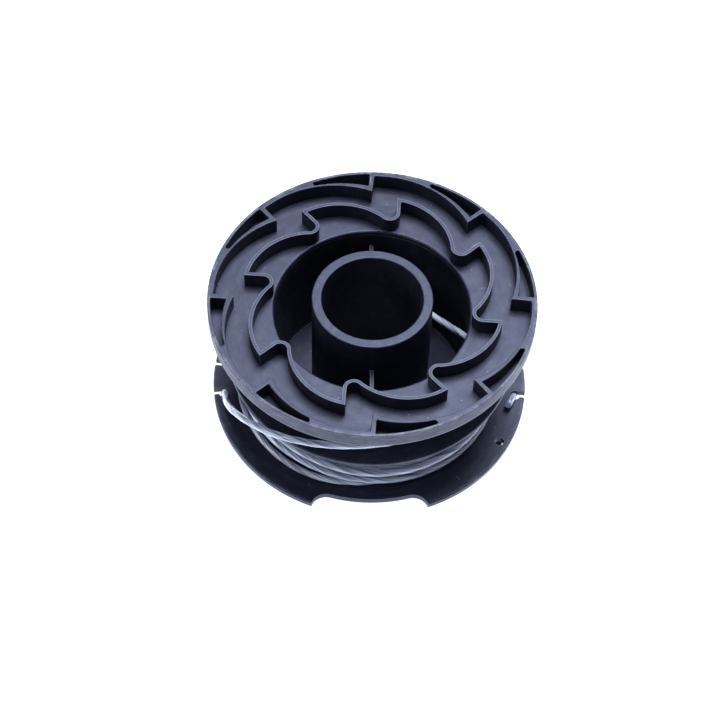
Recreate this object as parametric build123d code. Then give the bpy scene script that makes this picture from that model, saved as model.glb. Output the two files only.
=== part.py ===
from build123d import *

import os
from math import cos, pi, radians, sin, sqrt, tan

# Replacement spool for a string trimmer, with one cutting line, folded at its middle, wound on.
#
# Millimetres. +Z is the spool's axis and points to the ratchet end. The origin is on the axis, on the
# flat ring that the spool stands on. +X and -X point at the two line tabs of the lower flange, and
# -Y and +Y at its two cut-outs.

# ---- driving dimensions -------------------------------------------------------------------------
FLANGE_R = 35.0             # both flanges
LINE_D = 1.55               # trimmer line
BORE_R = 10.8               # hub bore, on the trimmer's spindle
HUB_R = 12.9
HUB_TOP_DROP = 0.25         # hub's end face below the ratchet's top
HUB_EDGE_R = 0.25
CORE_BORE_R = 21.0          # inside of the winding drum
DRUM_WALL = 1.6
DIVIDER_R = 31.5
DIVIDER_EDGE_R = 0.4
TEETH = 8                   # on both ratchets

# heights, from the foot up
FOOT_H = 2.2                # keeps the line under the tabs off the surface below
LOWER_FLANGE_T = 1.4
LOWER_CHAMBER_H = 12.9
DIVIDER_T = 1.3
UPPER_CHAMBER_H = 11.0
PLATE_T = 1.1               # web of the ratchet flange
WALL_H = 3.9                # ratchet walls above the web

DRUM_R = CORE_BORE_R + DRUM_WALL
Z_FLANGE = FOOT_H
Z_LOWER = Z_FLANGE + LOWER_FLANGE_T             # floor of the lower line chamber
Z_DIVIDER = Z_LOWER + LOWER_CHAMBER_H
Z_UPPER = Z_DIVIDER + DIVIDER_T                 # floor of the upper line chamber
Z_PLATE = Z_UPPER + UPPER_CHAMBER_H
Z_WALLS = Z_PLATE + PLATE_T                     # face that the ratchet walls stand on
Z_TOP = Z_WALLS + WALL_H

# ratchet flange
EDGE_ROUND_R = 2.0          # underside of the flange's outer edge
LIP_R = 0.5                 # rounding of the web's inner edge
RIM_T = 0.7
POCKET_R = FLANGE_R - RIM_T
WALL_EDGE_R = 0.15          # rounding of the outer walls' top edges

# outer ratchet, one tooth: radius, and degrees past the tooth's tip
TOOTH_TIP = (29.4, 0)
RAMP_MID = (32.15, 16.2)
RAMP_END = (33.75, 38.7)
WALL_ROOT = (33.8, 44.1)    # outer end of the next tooth's radial wall

# pocket behind that tooth, between its ramp and the rim
POCKET_WALL_OUT = (POCKET_R, 0.9)
POCKET_WALL_IN = (30.95, 1.4)
POCKET_RAMP_MID = (32.3, 11.5)
POCKET_END_IN = (33.3, 22.3)
POCKET_END_OUT = (POCKET_R, 23.0)
POCKET_RIM_MID = (POCKET_R, 12.0)
POCKET_CORNER_R = 0.35

# inner ratchet, middle of its wall: radius, and degrees past an outer tip
WAVE_WALL_T = 0.75
WAVE_FIRST_TIP = 32.5       # angle of one outer tip, from +X
WAVE_TIP = (27.6, 0)
WAVE_FLANK = (23.9, -1.4)
WAVE_INNER = (21.75, 3.2)
WAVE_RAMP_START = (22.35, 6.6)
WAVE_RAMP_MID = (25.75, 22.5)

# lower flange
KEYHOLE_ANGLE = 7.3
KEYHOLE_R = 1.15
KEYHOLE_AT_R = 32.8
SLOT_W = 1.5                # the line is pushed through
SLOT_ANGLE = 6.6
NOTCH_R = 31.65             # bottom of the two cut-outs
NOTCH_HALF_ANGLE = 21.0
NOTCH_CORNER_R = 3.3
ANCHOR_R = 1.0              # small hole that holds a line's end while the spool is wound
ANCHOR_AT = (33.0, -30.0)   # radius, angle
FLANGE_BEVEL = 0.3

# inside the drum
FLOOR_T = 1.3
FLOOR_DROP = 0.8            # drum floor below the lower flange's upper face
RIB_T = 0.8
RIB_TOP_DROP = 8.5          # rib's top edge below the ratchet's top

# line
LINE_R = LINE_D / 2
UNDER_TAB_Z = Z_FLANGE - LINE_R - 0.12          # middle of the line where it passes under a tab
TAB_FOLDS = {corner: 1.6 for corner in (1, 2, 3, 4)}    # radius that the line folds to at a tab's edges
WOUND_R_LOWER = 28.6        # outside of the lower winding
WOUND_R_UPPER = 29.4        # outside of the upper winding, above its slope
WOUND_R_FOOT = 27.0         # and beside the divider, below the slope
SLOPE_LOW_Z = 19.5
SLOPE_HIGH_Z = 23.0
WOUND_GAP = 0.25            # winding to the flanges beside it
BRIDGE_FROM = (-8.0, 22.3)  # angle and height where the middle of the line crosses the drum's wall
BRIDGE_TO = (82.4, 9.2)
BRIDGE_HOLE_R = 1.5
BRIDGE_END_IN = 0.5         # ends of the line in the drum, inside the drum's outer face

PAST = 2.0                  # how far a cutting shape runs past what it cuts
PITCH = 360 / TEETH


def polar(radius, angle, z=0.0):
    """A point from its radius, its angle from +X in degrees, and its height."""
    return Vector(radius * cos(radians(angle)), radius * sin(radians(angle)), z)


def ring(inner, outer, z, height):
    """A plain flat ring that starts at height z."""
    return Pos(0, 0, z + height / 2) * (Cylinder(outer, height) - Cylinder(inner, height))


def prism(face, z, height):
    """A flat face drawn on the base plane, raised to z and made `height` thick."""
    return extrude(Pos(0, 0, z) * face, height)


def outline(*edges):
    return make_face(Wire(list(edges)))


# ---- ratchet flange -----------------------------------------------------------------------------
def flange_blank():
    """The whole ratchet flange as one turned disc: flat top, rounded lower edge, rounded inner lip."""
    round_x = FLANGE_R - EDGE_ROUND_R
    round_z = Z_PLATE + EDGE_ROUND_R
    low_in = (CORE_BORE_R, Z_PLATE)
    low_out = (round_x, Z_PLATE)
    side_low = (FLANGE_R, round_z)
    on_round = (round_x + EDGE_ROUND_R / sqrt(2), round_z - EDGE_ROUND_R / sqrt(2))
    section = outline(
        Line(low_in, low_out),
        ThreePointArc(low_out, on_round, side_low),
        Line(side_low, (FLANGE_R, Z_TOP)),
        Line((FLANGE_R, Z_TOP), (CORE_BORE_R, Z_TOP)),
        Line((CORE_BORE_R, Z_TOP), low_in),
    )
    return revolve(Plane.XZ * section, Axis.Z)


def below(z):
    return Pos(0, 0, z - Z_TOP) * Cylinder(2 * FLANGE_R, 2 * Z_TOP)


def make_ratchet_flange():
    plate = flange_blank() & below(Z_WALLS)
    lip = plate.edges().filter_by(GeomType.CIRCLE).filter_by(
        lambda e: abs(e.radius - CORE_BORE_R) < 0.01 and abs(e.center().Z - Z_WALLS) < 0.01)
    return fillet(lip, LIP_R)


def tooth_point(place, start):
    """A named place of a tooth, given as (radius, degrees past the tip), on the tooth at `start`."""
    radius, past_tip = place
    return polar(radius, start + past_tip)


def valley_opening():
    """The star-shaped space inside the outer ratchet: eight ramps, each ending at a radial wall."""
    edges = []
    for i in range(TEETH):
        start = i * PITCH
        tip, ramp_mid, ramp_end, wall_root = (
            tooth_point(place, start) for place in (TOOTH_TIP, RAMP_MID, RAMP_END, WALL_ROOT))
        next_tip = tooth_point(TOOTH_TIP, start + PITCH)
        edges += [
            ThreePointArc(tip, ramp_mid, ramp_end),
            Line(ramp_end, wall_root),
            Line(wall_root, next_tip),
        ]
    return outline(*edges)


def tooth_pocket(start):
    """The long triangular pocket behind one tooth, between its ramp and the rim."""
    wall_out, wall_in, ramp_mid, end_in, end_out, rim_mid = (
        tooth_point(place, start) for place in (
            POCKET_WALL_OUT, POCKET_WALL_IN, POCKET_RAMP_MID, POCKET_END_IN, POCKET_END_OUT, POCKET_RIM_MID))
    face = outline(
        Line(wall_out, wall_in),
        ThreePointArc(wall_in, ramp_mid, end_in),
        Line(end_in, end_out),
        ThreePointArc(end_out, rim_mid, wall_out),
    )
    return fillet(face.vertices().sort_by_distance(end_out)[:2], POCKET_CORNER_R)


def make_outer_ratchet():
    band = flange_blank() - below(Z_WALLS)
    cuts = [valley_opening()] + [tooth_pocket(i * PITCH) for i in range(TEETH)]
    for face in cuts:
        band -= prism(face, Z_WALLS - PAST, WALL_H + 2 * PAST)
    top_edges = band.edges().filter_by(lambda e: abs(e.bounding_box().min.Z - Z_TOP) < 0.01)
    return fillet(top_edges, WALL_EDGE_R)


def wave_centreline():
    """Closed centreline of the inner ratchet: hook, rounded inner point, long ramp, sharp outer tip."""
    edges = []
    for i in range(TEETH):
        start = WAVE_FIRST_TIP + i * PITCH
        tip, flank, inner, ramp_start, ramp_mid = (
            tooth_point(place, start) for place in (
                WAVE_TIP, WAVE_FLANK, WAVE_INNER, WAVE_RAMP_START, WAVE_RAMP_MID))
        next_tip = tooth_point(WAVE_TIP, start + PITCH)
        edges += [
            Line(tip, flank),
            ThreePointArc(flank, inner, ramp_start),
            ThreePointArc(ramp_start, ramp_mid, next_tip),
        ]
    return Wire(edges)


def make_inner_ratchet():
    centre = wave_centreline()
    half = WAVE_WALL_T / 2
    outer = make_face(centre.offset_2d(half, kind=Kind.INTERSECTION))
    inner = make_face(centre.offset_2d(-half, kind=Kind.INTERSECTION))
    return prism(outer - inner, Z_WALLS, WALL_H)


# ---- winding core -------------------------------------------------------------------------------
def bridge_ends(radius):
    """The two ends of the straight length of line inside the drum, where it is `radius` from the axis."""
    a = polar(DRUM_R, *BRIDGE_FROM)
    b = polar(DRUM_R, *BRIDGE_TO)
    middle = (a + b) * 0.5
    flat = Vector(middle.X, middle.Y, 0).length
    half_now = sqrt(DRUM_R**2 - flat**2)
    half_new = sqrt(radius**2 - flat**2)
    reach = (b - a) * (half_new / half_now / 2)
    return middle - reach, middle + reach


def rod(start, end, radius):
    return Solid.make_cylinder(radius, (end - start).length, Plane(start, z_dir=end - start))


def make_winding_drum():
    drum = ring(CORE_BORE_R, DRUM_R, Z_LOWER, Z_PLATE - Z_LOWER)
    start, end = bridge_ends(DRUM_R + PAST)
    return drum - rod(start, end, BRIDGE_HOLE_R)


def make_divider_flange():
    disc = ring(DRUM_R, DIVIDER_R, Z_DIVIDER, DIVIDER_T)
    rims = disc.edges().filter_by(GeomType.CIRCLE).filter_by(lambda e: abs(e.radius - DIVIDER_R) < 0.01)
    return fillet(rims, DIVIDER_EDGE_R)


# ---- lower flange -------------------------------------------------------------------------------
def notch(angle):
    """One of the two wide, shallow cut-outs in the lower flange's edge."""
    beyond = 1.25 * FLANGE_R        # the outline's corners, well clear of the flange's edge
    left, right = angle - NOTCH_HALF_ANGLE, angle + NOTCH_HALF_ANGLE
    low_left, low_right = polar(NOTCH_R, left), polar(NOTCH_R, right)
    high_left, high_right = polar(beyond, left), polar(beyond, right)
    face = outline(
        Line(high_left, low_left),
        ThreePointArc(low_left, polar(NOTCH_R, angle), low_right),
        Line(low_right, high_right),
        Line(high_right, high_left),
    )
    corners = face.vertices().sort_by_distance((0, 0, 0))[:2]
    return fillet(corners, NOTCH_CORNER_R)


def line_slot(side):
    """A keyhole with its narrow mouth in the flange's edge, beside the tab at +X."""
    hole = Pos(polar(KEYHOLE_AT_R, side * KEYHOLE_ANGLE)) * Circle(KEYHOLE_R)
    length = FLANGE_R + PAST - KEYHOLE_AT_R
    mouth = Rot(0, 0, side * SLOT_ANGLE) * Pos(KEYHOLE_AT_R + length / 2, 0) * Rectangle(length, SLOT_W)
    return hole + mouth


def make_lower_flange():
    face = Circle(FLANGE_R) - Circle(CORE_BORE_R)
    anchor = Pos(polar(*ANCHOR_AT)) * Circle(ANCHOR_R)
    for turn in (0, 180):
        face -= notch(turn - 90)
        face -= Rot(0, 0, turn) * (line_slot(1) + line_slot(-1) + anchor)
    disc = prism(face, Z_FLANGE, LOWER_FLANGE_T)
    top_rim = disc.edges().filter_by(GeomType.CIRCLE).filter_by(
        lambda e: abs(e.radius - FLANGE_R) < 0.01 and abs(e.center().Z - Z_LOWER) < 0.01)
    return chamfer(top_rim, FLANGE_BEVEL)


# ---- inside the drum and under it ---------------------------------------------------------------
def make_hub_tube():
    tube = ring(BORE_R, HUB_R, 0, Z_TOP - HUB_TOP_DROP)
    mouth = tube.edges().filter_by(GeomType.CIRCLE).group_by(Axis.Z)[-1]
    return fillet(mouth, HUB_EDGE_R)


def make_drum_floor():
    return ring(HUB_R, CORE_BORE_R, Z_LOWER - FLOOR_DROP - FLOOR_T, FLOOR_T)


def make_foot_ring():
    return ring(CORE_BORE_R, DRUM_R, 0, FOOT_H)


def make_hub_rib(side):
    """A thin upright rib from the hub to the drum's wall, at +Y or -Y."""
    low = Z_LOWER - FLOOR_DROP
    high = Z_TOP - RIB_TOP_DROP
    depth = CORE_BORE_R
    block = Pos(0, side * depth / 2, (low + high) / 2) * Box(RIB_T, depth, high - low)
    return block & ring(HUB_R, CORE_BORE_R, low, high - low)


# ---- line ---------------------------------------------------------------------------------------
def make_lower_winding():
    return ring(DRUM_R, WOUND_R_LOWER, Z_LOWER + WOUND_GAP, LOWER_CHAMBER_H - 2 * WOUND_GAP)


def make_upper_winding():
    """Fuller towards the ratchet end, with a slope down to the divider."""
    low, high = Z_UPPER + WOUND_GAP, Z_PLATE - WOUND_GAP
    section = Polygon(
        (DRUM_R, low),
        (WOUND_R_FOOT, low),
        (WOUND_R_FOOT, SLOPE_LOW_Z),
        (WOUND_R_UPPER, SLOPE_HIGH_Z),
        (WOUND_R_UPPER, high),
        (DRUM_R, high),
        align=None,
    )
    return revolve(Plane.XZ * section, Axis.Z)


def line_tube(points, folds):
    """Line along straight runs joined by tangent arcs; `folds` gives the radius of the tight ones."""
    radii = []
    for i in range(1, len(points) - 1):
        before, after = points[i] - points[i - 1], points[i + 1] - points[i]
        turn = radians(before.get_angle(after))
        radii.append(folds.get(i, 0.45 * min(before.length, after.length) / tan(turn / 2)))
    path = FilletPolyline(*points, radius=radii)
    tube = sweep(Plane(path @ 0, z_dir=path % 0) * Circle(LINE_R), path=path, transition=Transition.RIGHT)
    length = path.length
    print("line tail: %.1f mm, volume ratio %.4f, radii %s"
          % (length, tube.volume / (pi * LINE_R**2 * length), [round(r, 1) for r in radii]))
    return tube


def tab_weave(turn):
    """The line's end: a short stub on top, down through one keyhole, under the tab, up the other.

    Its corners 1 to 4 fold round the tab's edges.
    """
    return [
        polar(31.75, turn - 14.9, Z_LOWER + 1.8),
        polar(32.6, turn - 7.4, Z_LOWER + 0.8),
        polar(32.7, turn - 6.9, UNDER_TAB_Z),
        polar(32.7, turn + 6.9, UNDER_TAB_Z),
        polar(32.6, turn + 7.4, Z_LOWER + 0.8),
    ]


def make_upper_line_tail():
    """From the left tab, up past the divider's edge, and onto the upper winding."""
    points = tab_weave(180) + [
        polar(32.75, 192, 5.3),
        polar(33.05, 199, 8.6),
        polar(33.25, 208, 12.8),
        polar(33.1, 218, 16.3),
        polar(32.75, 228.5, 18.8),
        polar(32.0, 239, 20.4),
        polar(31.2, 251, 21.8),
        polar(30.8, 263, 23.2),
        polar(30.7, 277, 24.4),
        polar(30.65, 291, 25.1),
    ]
    return line_tube(points, TAB_FOLDS)


def make_lower_line_tail():
    """From the right tab onto the lower winding, round the back."""
    points = tab_weave(0) + [
        polar(32.75, 12, 5.0),
        polar(32.8, 19.5, 6.5),
        polar(32.3, 29, 7.8),
        polar(31.5, 39.5, 8.8),
        polar(30.95, 51, 9.5),
        polar(30.5, 63, 10.0),
        polar(30.1, 76, 10.3),
        polar(29.9, 89, 10.4),
    ]
    return line_tube(points, TAB_FOLDS)


def make_line_bridge():
    start, end = bridge_ends(DRUM_R - BRIDGE_END_IN)
    return rod(start, end, LINE_R)


# ---- all sub-parts ------------------------------------------------------------------------------
def build_parts():
    return {
        "ratchet_flange": make_ratchet_flange(),
        "outer_ratchet_ring": make_outer_ratchet(),
        "inner_ratchet_ring": make_inner_ratchet(),
        "winding_drum": make_winding_drum(),
        "divider_flange": make_divider_flange(),
        "lower_flange": make_lower_flange(),
        "hub_tube": make_hub_tube(),
        "hub_rib_front": make_hub_rib(-1),
        "hub_rib_rear": make_hub_rib(1),
        "drum_floor": make_drum_floor(),
        "foot_ring": make_foot_ring(),
        "upper_line_winding": make_upper_winding(),
        "lower_line_winding": make_lower_winding(),
        "upper_line_tail": make_upper_line_tail(),
        "lower_line_tail": make_lower_line_tail(),
        "line_bridge": make_line_bridge(),
    }


os.makedirs("parts", exist_ok=True)
for name, shape in build_parts().items():
    export_step(shape, os.path.join("parts", name + ".step"))
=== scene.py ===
"""Looks of the grass trimmer's spool and its line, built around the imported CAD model.

Object coordinates are metres in the model's frame: +Z is the spool's axis, towards the ratchet end, and
z = 0 is the surface that it stands on. The line's route is in millimetres, and in degrees from +X; MM turns
it into metres.
"""
from math import ceil, cos, pi, radians, sin, sqrt
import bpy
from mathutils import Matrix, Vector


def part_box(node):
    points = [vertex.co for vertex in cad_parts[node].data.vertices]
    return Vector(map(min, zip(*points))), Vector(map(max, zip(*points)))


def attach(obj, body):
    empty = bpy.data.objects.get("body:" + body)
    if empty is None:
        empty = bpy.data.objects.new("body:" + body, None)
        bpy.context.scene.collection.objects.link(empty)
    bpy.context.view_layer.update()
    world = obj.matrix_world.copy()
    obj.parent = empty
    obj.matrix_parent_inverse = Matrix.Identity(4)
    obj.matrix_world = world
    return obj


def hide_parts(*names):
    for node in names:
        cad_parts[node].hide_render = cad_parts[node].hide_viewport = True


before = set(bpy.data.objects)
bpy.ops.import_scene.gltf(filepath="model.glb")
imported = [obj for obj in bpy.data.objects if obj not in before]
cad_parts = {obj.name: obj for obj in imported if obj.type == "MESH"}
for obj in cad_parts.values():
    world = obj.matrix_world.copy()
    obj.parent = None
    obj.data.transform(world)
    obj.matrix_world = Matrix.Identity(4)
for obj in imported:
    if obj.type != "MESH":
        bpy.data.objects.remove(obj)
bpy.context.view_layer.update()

from types import SimpleNamespace

import bpy
from mathutils import Matrix, Vector

MM = 0.001
TOP_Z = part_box("outer_ratchet_ring")[1].z

SPOOL_NODES = (
    "ratchet_flange", "outer_ratchet_ring", "inner_ratchet_ring", "winding_drum", "divider_flange",
    "lower_flange", "hub_tube", "hub_rib_front", "hub_rib_rear", "drum_floor", "foot_ring",
)
LINE_NODES = (
    "upper_line_winding", "lower_line_winding", "upper_line_tail", "lower_line_tail", "line_bridge",
)


# ---- camera -------------------------------------------------------------------------------------
LENS = 93.88                # mm
SENSOR_WIDTH = 36.0         # mm
CLIP_START = 0.01
CAMERA_DISTANCE = 0.39764   # from the middle of the ratchet end
CAMERA_ELEVATION = 52.914
CAMERA_TURN = -1.9          # about the spool's axis, from straight in front
CAMERA_PAN = -0.535
CAMERA_TILT = -1.923
CAMERA_ROLL = 1.743


def make_camera():
    data = bpy.data.cameras.new("camera")
    data.lens = LENS
    data.sensor_width = SENSOR_WIDTH
    data.clip_start = CLIP_START
    elevation, roll = radians(CAMERA_ELEVATION), radians(CAMERA_ROLL)
    pan, pitch = radians(CAMERA_PAN), radians(CAMERA_TILT - CAMERA_ELEVATION)
    place = Vector((0, -cos(elevation), sin(elevation))) * CAMERA_DISTANCE
    ahead = Vector((sin(pan) * cos(pitch), cos(pan) * cos(pitch), sin(pitch)))
    level = ahead.cross(Vector((0, 0, 1))).normalized()
    upright = level.cross(ahead)
    right = level * cos(roll) + upright * sin(roll)
    up = upright * cos(roll) - level * sin(roll)
    pose = Matrix((right, up, -ahead)).transposed().to_4x4()
    pose.translation = place
    turn = Matrix.Translation((0, 0, TOP_Z)) @ Matrix.Rotation(radians(CAMERA_TURN), 4, "Z")
    camera = bpy.data.objects.new("camera", data)
    camera.matrix_world = turn @ pose
    bpy.context.scene.collection.objects.link(camera)
    bpy.context.scene.camera = camera


make_camera()

# ---- line: route --------------------------------------------------------------------------------
LINE_D = 1.55               # mm
DRUM_R = 22.6               # mm
LOWER_FLANGE_TOP = 3.6
TURN_POINTS = 16            # points of the route in each turn of a winding
TURN_STEP = 360 / TURN_POINTS
OUTSIDE = 1 / cos(radians(TURN_STEP / 2))   # a NURBS line runs inside points that far apart by this factor
WOBBLE = 0.05               # mm, how unevenly the turns lie beside each other

# heights of the line's middle, in mm
UNDER_TAB_Z = 1.305
ON_FLANGE_Z = 4.42          # on the lower flange
UNDER_DIVIDER_Z = 15.65
ON_DIVIDER_Z = 18.65
UNDER_RATCHET_Z = 28.0
TAIL_JOIN_Z = 25.1          # where the upper winding goes over into its tail

# angle and height where the line crosses the drum's wall
HOLE_LOWER = (82.4, 9.2)
HOLE_UPPER = (-8.0, 22.3)

# the turns of each winding that are laid by a loop, and the heights between which the line travels meanwhile
LOWER_TURNS = 17.37
LOWER_LEVELS = (HOLE_LOWER[1], ON_FLANGE_Z, UNDER_DIVIDER_Z, 13.7, UNDER_DIVIDER_Z, ON_FLANGE_Z)
UPPER_TURNS = 18.9
UPPER_LEVELS = (HOLE_UPPER[1], UNDER_RATCHET_Z, ON_DIVIDER_Z, UNDER_RATCHET_Z, 22.0, TAIL_JOIN_Z)


def tab_weave(turn):
    """A short stub on top, down through one keyhole, under the tab, and up through the other."""
    return [
        (31.75, turn - 14.9, LOWER_FLANGE_TOP + 1.8),
        (32.6, turn - 7.4, LOWER_FLANGE_TOP + 0.8),
        (32.7, turn - 6.9, UNDER_TAB_Z),
        (32.7, turn + 6.9, UNDER_TAB_Z),
        (32.6, turn + 7.4, LOWER_FLANGE_TOP + 0.8),
    ]


# points of the route, given one by one: radius, angle, height
LOWER_TAIL = tab_weave(0) + [
    (32.75, 12, 5.0),
    (32.8, 19.5, 6.5),
    (32.3, 29, 7.8),
    (31.5, 39.5, 8.8),
    (30.95, 51, 9.5),
    (30.5, 63, 10.0),
    (30.1, 76, 10.3),
    (29.9, 89, 10.4),
]
UPPER_TAIL = tab_weave(180) + [
    (32.75, 192, 5.3),
    (33.05, 199, 8.6),
    (33.25, 208, 12.8),
    (33.1, 218, 16.3),
    (32.75, 228.5, 18.8),
    (32.0, 239, 20.4),
    (31.2, 251, 21.8),
    (30.8, 263, 23.2),
    (30.7, 277, 24.4),
    (30.65, 291, 25.1),
]
UPPER_JOIN = [
    (29.9, 352.0, TAIL_JOIN_Z),
    (30.1, 330.0, 25.15),
    (30.4, 310.0, 25.15),
]
# the line folds back on itself where it goes from the lower winding into the drum
FOLD = [
    (24.6, HOLE_LOWER[0] - 9.0, HOLE_LOWER[1]),
    (26.0, HOLE_LOWER[0] + 3.5, HOLE_LOWER[1]),
]
# points of the straight stretch across the drum, as shares of the way from the lower hole to the upper one
BRIDGE_SHARES = (0.02, 0.12, 0.5, 0.9, 1.04)

# outermost turns of the lower winding, from the tail inwards: angle counted on past 360, radius, height
LOWER_OUTER = [
    (110, 29.3, 10.3),
    (135, 28.7, 10.1),
    (160, 28.2, 9.9),
    (190, 27.9, 9.7),
    (215, 27.8, 9.6),
    (242, 27.7, 9.2),
    (252, 27.7, 8.6),
    (264, 27.7, 7.9),
    (277, 27.7, 7.8),
    (302, 27.7, 7.2),
    (330, 27.8, 7.0),
    (360, 28.0, 6.8),
    (450, 28.1, 7.2),
    (550, 28.3, 7.5),
    (592, 28.3, 7.45),
    (602, 28.3, 7.4),
    (612, 28.3, 6.9),
    (624, 28.2, 6.1),
    (637, 27.9, 5.0),
    (652, 27.8, 4.7),
    (662, 27.8, 4.45),
    (700, 27.8, ON_FLANGE_Z),
    (760, 28.0, ON_FLANGE_Z),
    (820, 28.4, ON_FLANGE_Z),
    (880, 28.8, ON_FLANGE_Z),
    (912, 29.1, ON_FLANGE_Z),
    (965, 29.1, ON_FLANGE_Z),
    (977, 28.6, ON_FLANGE_Z),
    (987, 27.8, ON_FLANGE_Z),
    (997, 27.0, ON_FLANGE_Z),
    (1007, 26.5, ON_FLANGE_Z),
]


def polar(radius, angle, z):
    """A point in metres from its radius in mm, its angle from +X in degrees, and its height in mm."""
    return Vector((radius * cos(radians(angle)), radius * sin(radians(angle)), z)) * MM


def keyed_turns(keys):
    """Points at even angles along turns that are given by a few (angle, radius, height) places."""
    points = []
    first, last = keys[0][0], keys[-1][0]
    count = ceil((last - first) / TURN_STEP)
    for i in range(count + 1):
        angle = first + (last - first) * i / count
        k = max(j for j in range(len(keys) - 1) if keys[j][0] <= angle)
        (a0, r0, z0), (a1, r1, z1) = keys[k], keys[k + 1]
        share = (angle - a0) / (a1 - a0)
        share = share * share * (3 - 2 * share)     # eases out of one place and into the next
        points.append(((r0 + (r1 - r0) * share) * OUTSIDE, angle, z0 + (z1 - z0) * share))
    return points


def height_along(levels, travelled):
    """The height after the line has travelled this far up and down between the levels."""
    z = levels[0]
    for a, b in zip(levels, levels[1:]):
        leg = abs(b - a)
        z = a + (b - a) * min(1.0, travelled / leg)
        if travelled <= leg:
            break
        travelled -= leg
    return z


def wound_turns(start_angle, turns, levels):
    """Turns laid from the drum outwards, clockwise, each resting on the line already under it."""
    travel = sum(abs(b - a) for a, b in zip(levels, levels[1:]))
    count = round(turns * TURN_POINTS)
    laid = []
    for i in range(count + 1):
        z = height_along(levels, travel * i / count)
        z += WOBBLE * (sin(0.61 * i) + sin(0.173 * i + 1.0))    # two waves that keep no time with the turns
        z = min(max(z, min(levels)), max(levels))
        radius = DRUM_R + LINE_D / 2
        for earlier in range(i - TURN_POINTS, -1, -TURN_POINTS):
            gap = abs(z - laid[earlier][2])
            if gap < LINE_D:
                radius = max(radius, laid[earlier][0] + sqrt(LINE_D**2 - gap**2))
        laid.append((radius, start_angle - i * TURN_STEP, z))
    return [(r * OUTSIDE, a, z) for r, a, z in laid]


def line_route():
    """The whole line, from its end at the right tab to its end at the left tab."""
    lower_turns = wound_turns(HOLE_LOWER[0] - TURN_STEP, LOWER_TURNS, LOWER_LEVELS)
    upper_turns = wound_turns(HOLE_UPPER[0] - TURN_STEP, UPPER_TURNS, UPPER_LEVELS)
    bridge_start, bridge_end = polar(DRUM_R, *HOLE_LOWER), polar(DRUM_R, *HOLE_UPPER)
    bridge = [bridge_start.lerp(bridge_end, share) for share in BRIDGE_SHARES]
    before = LOWER_TAIL + keyed_turns(LOWER_OUTER) + lower_turns[::-1] + FOLD
    after = upper_turns + UPPER_JOIN + UPPER_TAIL[::-1]
    return [polar(*point) for point in before] + bridge + [polar(*point) for point in after]


ROUTE_RESOLUTION = 12       # points of the smooth line for each control point


def nurbs_points(points):
    """The smooth line that has these points as its control points."""
    curve = bpy.data.curves.new("route", "CURVE")
    curve.dimensions = "3D"
    spline = curve.splines.new("NURBS")
    spline.points.add(len(points) - 1)
    for place, point in zip(points, spline.points):
        point.co = (*place, 1.0)
    spline.order_u = 3
    spline.use_endpoint_u = True
    spline.resolution_u = ROUTE_RESOLUTION
    holder = bpy.data.objects.new("route", curve)
    bpy.context.scene.collection.objects.link(holder)
    mesh = bpy.data.meshes.new_from_object(holder)
    smooth = [v.co.copy() for v in mesh.vertices]
    bpy.data.objects.remove(holder)
    bpy.data.curves.remove(curve)
    bpy.data.meshes.remove(mesh)
    return smooth


# ---- line: mesh ---------------------------------------------------------------------------------
OUTER_GAP = 0.85 * MM       # between the tube's rings in the turns that show
INNER_GAP = 2.6 * MM        # and in those under them
LEAST_GAP = 0.15 * MM       # no rings nearer to each other than this, however sharp the bend
OUTER_ENDS = (1.65, 1.15)   # m of line from either end that lies outermost
RING_TURN = radians(8)      # a bend this sharp gets a ring of its own
TWIST_PITCH = 20.0 * MM
SECTION_POINTS = 16
SECTION_POWER = 2.4         # 2 would be round, and above it the section fills out towards four corners
LINE_UV = "line_uv"         # across: share of the way round; along: length in circumferences


def thinned(points):
    """The points that the tube needs rings at."""
    runs = [(b - a).length for a, b in zip(points, points[1:])]
    whole = sum(runs)
    kept = [points[0]]
    heading = points[1] - points[0]
    along = 0.0
    for run, point, after in zip(runs, points[1:], points[2:]):
        along += run
        hidden = OUTER_ENDS[0] < along < whole - OUTER_ENDS[1] and point.xy.length > DRUM_R * MM
        gap = (point - kept[-1]).length
        step = after - point
        turned = heading.angle(step, 0) > RING_TURN and gap > LEAST_GAP
        if gap > (INNER_GAP if hidden else OUTER_GAP) or turned:
            kept.append(point)
            heading = step
    kept.append(points[-1])
    return kept


def section_radius(angle):
    power = SECTION_POWER
    return (abs(cos(angle)) ** power + abs(sin(angle)) ** power) ** (-1 / power)


def ring_angle(k):
    return 2 * pi * k / SECTION_POINTS


def tube_rings(centres, diameter):
    """The vertices of the tube's rings, and the length of line before each ring."""
    mean = sum(section_radius(ring_angle(k)) for k in range(SECTION_POINTS)) / SECTION_POINTS
    scale = diameter / 2 / mean
    last = len(centres) - 1
    tangents = [(centres[min(i + 1, last)] - centres[max(i - 1, 0)]).normalized() for i in range(last + 1)]
    side = tangents[0].cross(Vector((0, 0, 1))).normalized()
    along = 0.0
    lengths, vertices = [], []
    for i, (centre, tangent) in enumerate(zip(centres, tangents)):
        if i:
            along += (centre - centres[i - 1]).length
            side = tangents[i - 1].rotation_difference(tangent) @ side
            side = (side - tangent * side.dot(tangent)).normalized()
        lengths.append(along)
        twist = 2 * pi * along / TWIST_PITCH
        other = tangent.cross(side)
        for k in range(SECTION_POINTS):
            angle = ring_angle(k)
            out = side * cos(angle + twist) + other * sin(angle + twist)
            vertices.append(centre + out * (scale * section_radius(angle)))
    return vertices, lengths


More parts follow.
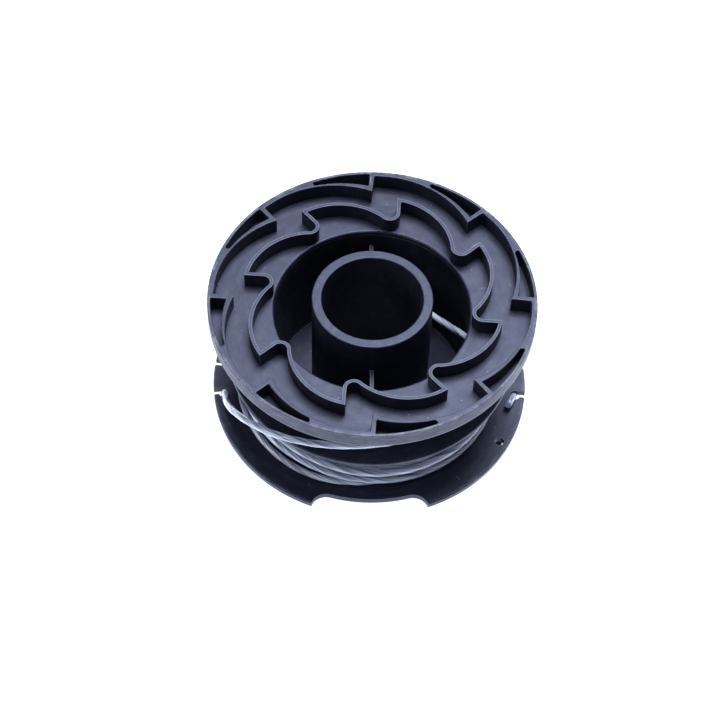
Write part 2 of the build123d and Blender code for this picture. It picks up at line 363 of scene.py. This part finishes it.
def twisted_tube(name, centres, diameter):
    """A closed tube along the centres, whose four-cornered section twists as it goes."""
    vertices, lengths = tube_rings(centres, diameter)
    faces, uvs = [], []
    n = SECTION_POINTS
    for i in range(len(centres) - 1):
        for k in range(n):
            a, b = i * n + k, i * n + (k + 1) % n
            faces.append((a, b, b + n, a + n))
            u0, u1 = k / n, (k + 1) / n
            v0, v1 = lengths[i] / (pi * diameter), lengths[i + 1] / (pi * diameter)
            uvs += [(u0, v0), (u1, v0), (u1, v1), (u0, v1)]
    last = (len(centres) - 1) * n
    faces.append(tuple(reversed(range(n))))
    faces.append(tuple(range(last, last + n)))
    uvs += [(0.5, 0.0)] * (2 * n)
    mesh = bpy.data.meshes.new(name)
    mesh.from_pydata(vertices, [], faces)
    layer = mesh.uv_layers.new(name=LINE_UV)
    for loop, uv in zip(layer.data, uvs):
        loop.uv = uv
    mesh.polygons.foreach_set("use_smooth", [True] * (len(faces) - 2) + [False] * 2)
    tube = bpy.data.objects.new(name, mesh)
    bpy.context.scene.collection.objects.link(tube)
    return tube


def make_line():
    centres = thinned(nurbs_points(line_route()))
    line = twisted_tube("trimmer_line", centres, LINE_D * MM)
    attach(line, "root")
    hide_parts(*LINE_NODES)
    return line


line = make_line()


# ---- materials: nodes ---------------------------------------------------------------------------
def new_material(name):
    material = bpy.data.materials.new(name)
    material.use_nodes = True
    tree = material.node_tree
    return material, tree, tree.nodes["Principled BSDF"]


def feed(tree, socket, value):
    """Links a socket to another one, or sets it to a number or a colour."""
    if isinstance(value, bpy.types.NodeSocket):
        tree.links.new(value, socket)
    elif isinstance(value, tuple):
        socket.default_value = (*value, 1.0)
    else:
        socket.default_value = value


def feed_all(tree, node, **values):
    """Feeds a node's inputs; a keyword is an input's name, with _ for a space."""
    for key, value in values.items():
        feed(tree, node.inputs[key.replace("_", " ")], value)


def add_node(tree, kind, **settings):
    node = tree.nodes.new(kind)
    for key, value in settings.items():
        setattr(node, key, value)
    return node


def noise(tree, point, scale, detail, roughness):
    node = add_node(tree, "ShaderNodeTexNoise")
    feed_all(tree, node, Vector=point, Scale=scale, Detail=detail, Roughness=roughness)
    return node.outputs["Fac"]


def stretched_noise(tree, axes, detail, roughness):
    """Noise over up to three sockets, each with a scale of its own."""
    node = add_node(tree, "ShaderNodeCombineXYZ")
    for name, (socket, scale) in zip("XYZ", axes):
        feed(tree, node.inputs[name], maths(tree, "MULTIPLY", socket, scale))
    return noise(tree, node.outputs["Vector"], 1.0, detail, roughness)


def ramp(tree, value, given, wanted=(0.0, 1.0)):
    """Goes between the two wanted numbers as the value goes between the two given ones."""
    node = add_node(tree, "ShaderNodeMapRange")
    feed_all(tree, node, Value=value, From_Min=given[0], From_Max=given[1])
    feed_all(tree, node, To_Min=wanted[0], To_Max=wanted[1])
    return node.outputs["Result"]


def maths(tree, operation, *values):
    node = add_node(tree, "ShaderNodeMath", operation=operation)
    for socket, value in zip(node.inputs, values):
        feed(tree, socket, value)
    return node.outputs["Value"]


def colour_mix(tree, factor, first, second):
    """first and second are colours, or sockets to take them from."""
    node = add_node(tree, "ShaderNodeMix", data_type="RGBA")
    feed(tree, node.inputs["Factor"], factor)
    for key, colour in (("A", first), ("B", second)):
        feed(tree, next(s for s in node.inputs if s.name == key and s.type == "RGBA"), colour)
    return next(s for s in node.outputs if s.type == "RGBA")


def bevelled_normal(tree, radius):
    node = add_node(tree, "ShaderNodeBevel", samples=6)
    feed(tree, node.inputs["Radius"], radius)
    return node.outputs["Normal"]


def bump(tree, height, distance, strength, under=None):
    """The surface's normal with a bump, on top of another normal if one is given."""
    node = add_node(tree, "ShaderNodeBump")
    feed_all(tree, node, Height=height, Distance=distance, Strength=strength)
    if under is not None:
        feed(tree, node.inputs["Normal"], under)
    return node.outputs["Normal"]


# ---- materials: spool ---------------------------------------------------------------------------
SPOOL_COLOUR = (0.0145, 0.0150, 0.0275)
SPOOL_COLOUR_LIGHT = (0.0220, 0.0230, 0.0390)
SPOOL_COLOUR_SWEPT = (0.036, 0.039, 0.055)
SPOOL_COLOUR_DRAWN = (0.105, 0.105, 0.120)
# painted highlight on the edges, and scuffed patches on the rim's top edge
SPOOL_COLOUR_HIGHLIGHT_AND_SCUFF = (0.24, 0.26, 0.33)
SPOOL_COLOUR_DUST = (0.20, 0.21, 0.26)
SPOOL_GLOSS_TINT = (0.71, 0.77, 1.0)
SPOOL_IOR = 1.5
EDGE_ROUND = 0.24 * MM      # edges are shaded as rounded by this
EDGE_HIGHLIGHT_REACH = 0.38 * MM       # and painted pale with a highlight over this
RIM_SIDE_R = (34.1 * MM, 34.7 * MM)                 # the rim's side begins, and has begun
RIM_TOP_Z = (TOP_Z - 0.7 * MM, TOP_Z - 0.2 * MM)    # its top edge begins, and has begun
FACING_UP = (0.6, 0.9)      # a normal's Z where a face begins to count as level, and where it does


def spool_place(tree):
    """Sockets for a point on the spool, its height, and its angle and distance from the axis."""
    point = add_node(tree, "ShaderNodeTexCoord").outputs["Object"]
    parts = add_node(tree, "ShaderNodeSeparateXYZ")
    feed(tree, parts.inputs["Vector"], point)
    x, y, z = parts.outputs
    square = maths(tree, "ADD", maths(tree, "POWER", x, 2.0), maths(tree, "POWER", y, 2.0))
    return SimpleNamespace(
        point=point,
        height=z,
        angle=maths(tree, "ARCTAN2", y, x),
        reach=maths(tree, "SQRT", square),
    )


def painted_edge_highlights(tree, face, scuff):
    """Where edges are painted pale as a highlight, more in some places than in others."""
    along = add_node(tree, "ShaderNodeVectorMath", operation="DOT_PRODUCT")
    feed(tree, along.inputs[0], bevelled_normal(tree, EDGE_HIGHLIGHT_REACH))
    feed(tree, along.inputs[1], face)
    on_edge = ramp(tree, along.outputs["Value"], (0.98, 0.80))
    return maths(tree, "MULTIPLY", on_edge, ramp(tree, scuff, (0.36, 0.56), (0.6, 1.0)))


def rim_chips(tree, at, at_rim):
    """Scuffed patches on the rim's top edge."""
    at_top = ramp(tree, at.height, RIM_TOP_Z)
    patches = ramp(tree, noise(tree, at.point, scale=260, detail=5, roughness=0.8), (0.50, 0.66), (0.0, 0.5))
    return maths(tree, "MULTIPLY", maths(tree, "MULTIPLY", at_rim, at_top), patches)


def scratches_and_dust(tree, at, face):
    """Fine scratches that run outwards from the axis, and specks of dust, on faces that look up."""
    upward = add_node(tree, "ShaderNodeSeparateXYZ")
    feed(tree, upward.inputs["Vector"], face)
    level = ramp(tree, upward.outputs["Z"], FACING_UP)
    ticks = ramp(tree, stretched_noise(tree, ((at.angle, 70.0), (at.reach, 260.0)), 0, 0.5), (0.82, 0.87))
    scratches = maths(tree, "MULTIPLY", ticks, ramp(tree, level, (0.0, 1.0), (0.0, 0.5)))
    dots = add_node(tree, "ShaderNodeTexVoronoi", feature="F1")
    feed_all(tree, dots, Vector=at.point, Scale=430)
    specks = maths(tree, "MULTIPLY", ramp(tree, dots.outputs["Distance"], (0.06, 0.03)), level)
    return maths(tree, "MAXIMUM", specks, scratches)


def spool_colour(tree, at, at_rim, edge_highlight_and_scuff, marks):
    """Dark plastic with flow marks that sweep round the axis, and streaks drawn along the rim's side."""
    cloud = ramp(tree, noise(tree, at.point, scale=90, detail=4, roughness=0.6), (0.3, 0.7))
    sweeps = stretched_noise(tree, ((at.angle, 7.0), (at.reach, 560.0), (at.height, 300.0)), 5, 0.62)
    streaks = stretched_noise(tree, ((at.angle, 10.0), (at.height, 1900.0)), 4, 0.65)
    drawn = maths(tree, "MULTIPLY", ramp(tree, streaks, (0.45, 0.72)), at_rim)
    colour = colour_mix(tree, cloud, SPOOL_COLOUR, SPOOL_COLOUR_LIGHT)
    colour = colour_mix(tree, ramp(tree, sweeps, (0.45, 0.72)), colour, SPOOL_COLOUR_SWEPT)
    # edges painted pale as a highlight, with scuffed patches on the rim's top edge
    colour = colour_mix(tree, edge_highlight_and_scuff, colour, SPOOL_COLOUR_HIGHLIGHT_AND_SCUFF)
    colour = colour_mix(tree, drawn, colour, SPOOL_COLOUR_DRAWN)
    return colour_mix(tree, marks, colour, SPOOL_COLOUR_DUST)


def spool_roughness(tree, at, flow, grain, scuff):
    """Satin, a little uneven from moulding and handling."""
    smear = noise(tree, at.point, scale=170, detail=5, roughness=0.7)
    roughness = ramp(tree, flow, (0.3, 0.7), (0.43, 0.51))
    for source, given, added in (
        (grain, (0.3, 0.7), (-0.03, 0.03)),
        (scuff, (0.55, 0.75), (0.0, 0.04)),
        (smear, (0.35, 0.65), (-0.025, 0.025)),
    ):
        roughness = maths(tree, "ADD", roughness, ramp(tree, source, given, added))
    return roughness


def spool_relief(tree, flow, grain, marks):
    """Edges shaded as rounded, with slight waves, grain and scratches on top."""
    normal = bevelled_normal(tree, EDGE_ROUND)
    for height, distance, strength in (
        (flow, 0.02 * MM, 0.5),
        (grain, 0.006 * MM, 0.5),
        (marks, 0.02 * MM, 0.4),
    ):
        normal = bump(tree, height, distance, strength, normal)
    return normal


def make_spool_plastic():
    """Satin moulded plastic: fine grain, flow marks, edges painted pale as highlights, scuffs on the rim's
    top edge, a few radial scratches and some dust.
    """
    material, tree, shader = new_material("spool_plastic")
    at = spool_place(tree)
    face = add_node(tree, "ShaderNodeNewGeometry").outputs["Normal"]
    flow = noise(tree, at.point, scale=420, detail=3, roughness=0.55)
    grain = noise(tree, at.point, scale=5200, detail=2, roughness=0.5)
    scuff = noise(tree, at.point, scale=1500, detail=4, roughness=0.7)
    at_rim = ramp(tree, at.reach, RIM_SIDE_R)
    # painted highlight on the edges, joined with scuffed patches on the rim's top edge
    edge_highlight_and_scuff = maths(tree, "MAXIMUM", painted_edge_highlights(tree, face, scuff), rim_chips(tree, at, at_rim))
    marks = scratches_and_dust(tree, at, face)
    feed_all(
        tree, shader,
        Base_Color=spool_colour(tree, at, at_rim, edge_highlight_and_scuff, marks),
        Roughness=spool_roughness(tree, at, flow, grain, scuff),
        Normal=spool_relief(tree, flow, grain, marks),
        IOR=SPOOL_IOR,
        Specular_Tint=SPOOL_GLOSS_TINT,
    )
    return material


# ---- materials: line ----------------------------------------------------------------------------
LINE_COLOUR_DARK = (0.19, 0.22, 0.33)
LINE_COLOUR_LIGHT = (0.84, 0.89, 0.99)
LINE_IOR = 1.53
LINE_TRANSMISSION = 0.4
LINE_COAT = 0.6
LINE_COAT_ROUGHNESS = 0.08
STREAK_SCALE = 2.8          # round the line
STREAK_STRETCH = 0.09       # along it, as a share of that


def make_line_nylon():
    """Milky, half-clear nylon with fine drawn streaks that follow its twist."""
    material, tree, shader = new_material("nylon_line")
    uv = add_node(tree, "ShaderNodeUVMap", uv_map=LINE_UV).outputs["UV"]
    parts = add_node(tree, "ShaderNodeSeparateXYZ")
    feed(tree, parts.inputs["Vector"], uv)
    turn = maths(tree, "MULTIPLY", parts.outputs["X"], 2 * pi)
    # round the line the streaks close on themselves, because their place is on a circle
    ring = add_node(tree, "ShaderNodeCombineXYZ")
    feed_all(tree, ring, X=maths(tree, "COSINE", turn), Y=maths(tree, "SINE", turn),
             Z=maths(tree, "MULTIPLY", parts.outputs["Y"], STREAK_STRETCH))
    streak = noise(tree, ring.outputs["Vector"], STREAK_SCALE, detail=2, roughness=0.5)
    cloud = noise(tree, uv, scale=0.5, detail=2, roughness=0.5)
    feed_all(
        tree, shader,
        Base_Color=colour_mix(tree, ramp(tree, streak, (0.34, 0.66)), LINE_COLOUR_DARK, LINE_COLOUR_LIGHT),
        Roughness=ramp(tree, cloud, (0.3, 0.7), (0.12, 0.22)),
        Normal=bump(tree, streak, 0.03 * MM, 0.6),
        IOR=LINE_IOR,
        Transmission_Weight=LINE_TRANSMISSION,
        Coat_Weight=LINE_COAT,
        Coat_Roughness=LINE_COAT_ROUGHNESS,
    )
    return material


def paint(obj, material):
    obj.data.materials.clear()
    obj.data.materials.append(material)


spool_plastic = make_spool_plastic()
for node in SPOOL_NODES:
    paint(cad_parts[node], spool_plastic)
paint(line, make_line_nylon())


# ---- floor and light ----------------------------------------------------------------------------
FLOOR_HALF = 3.0
FLOOR_COLOUR = (0.20, 0.20, 0.22)
FLOOR_ROUGHNESS = 0.9
FLOOR_SPECULAR = 0.1

# The floor is a light table, a part that glows though it is no lamp. It shines only beside the spool and
# behind the slots and cut-outs in its edge, and stays unlit under the spool as painted shade, so that the
# spool's other holes stay dark. Each pair is where the shine begins, and where it is full.
SHINE_COLOUR = (0.88, 0.94, 1.08)
SHINE_BESIDE = (0.0328, 0.0333)     # distance from the axis
SHINE_SLOTS = (0.0318, 0.0324)      # distance to the left or right, behind the keyholes' slots
SHINE_CUT_OUTS = (0.0265, 0.0285)   # distance to the front or back, behind the lower flange's cut-outs
# The spool is lit by more than the camera sees, which keeps its outline smooth against the white.
SHINE_LIGHTING = 1.6
SHINE_SEEN = 0.98

WORLD_COLOUR = (0.88, 0.93, 1.0)
WORLD_STRENGTH = 0.25
SOFTBOXES = (
    # name, place, diameter, power in W, colour
    ("top_softbox", (0.08, 0.30, 1.40), 0.9, 33.0, (0.92, 0.95, 1.0)),
    ("back_softbox", (0.45, 0.60, 1.17), 0.7, 8.0, (0.90, 0.94, 1.0)),
    ("left_softbox", (-0.95, -0.20, 0.45), 0.6, 3.5, (0.92, 0.96, 1.03)),
)


def floor_shine(tree):
    """How strongly the floor shines at a place."""
    place = add_node(tree, "ShaderNodeTexCoord").outputs["Object"]
    distance = add_node(tree, "ShaderNodeVectorMath", operation="LENGTH")
    feed(tree, distance.inputs[0], place)
    parts = add_node(tree, "ShaderNodeSeparateXYZ")
    feed(tree, parts.inputs["Vector"], place)
    beside = ramp(tree, distance.outputs["Value"], SHINE_BESIDE)
    slots = ramp(tree, maths(tree, "ABSOLUTE", parts.outputs["X"]), SHINE_SLOTS)
    cut_outs = ramp(tree, maths(tree, "ABSOLUTE", parts.outputs["Y"]), SHINE_CUT_OUTS)
    shining = maths(tree, "MAXIMUM", maths(tree, "MAXIMUM", beside, slots), cut_outs)
    seen = add_node(tree, "ShaderNodeLightPath").outputs["Is Camera Ray"]
    return maths(tree, "MULTIPLY", shining, ramp(tree, seen, (0.0, 1.0), (SHINE_LIGHTING, SHINE_SEEN)))


def make_floor():
    mesh = bpy.data.meshes.new("floor")
    corners = [(FLOOR_HALF * x, FLOOR_HALF * y, 0) for x, y in ((-1, -1), (1, -1), (1, 1), (-1, 1))]
    mesh.from_pydata(corners, [], [(0, 1, 2, 3)])
    floor = bpy.data.objects.new("floor", mesh)
    bpy.context.scene.collection.objects.link(floor)
    material, tree, shader = new_material("floor_glow")
    feed_all(
        tree, shader,
        Base_Color=FLOOR_COLOUR,
        Roughness=FLOOR_ROUGHNESS,
        Specular_IOR_Level=FLOOR_SPECULAR,
        Emission_Color=SHINE_COLOUR,
        Emission_Strength=floor_shine(tree),
    )
    paint(floor, material)


def area_light(name, place, size, power, colour):
    """A round lamp that points at the middle of the ratchet end."""
    data = bpy.data.lights.new(name, "AREA")
    data.shape = "DISK"
    data.size = size
    data.energy = power
    data.color = colour
    light = bpy.data.objects.new(name, data)
    light.location = place
    light.rotation_euler = (Vector((0, 0, TOP_Z)) - Vector(place)).to_track_quat("-Z", "Y").to_euler()
    bpy.context.scene.collection.objects.link(light)


def make_light():
    world = bpy.data.worlds.new("studio")
    world.use_nodes = True
    background = world.node_tree.nodes["Background"]
    feed_all(world.node_tree, background, Color=WORLD_COLOUR, Strength=WORLD_STRENGTH)
    bpy.context.scene.world = world
    for softbox in SOFTBOXES:
        area_light(*softbox)
    bpy.context.scene.view_settings.view_transform = "Standard"
    bpy.context.scene.view_settings.look = "Medium High Contrast"


make_floor()
make_light()
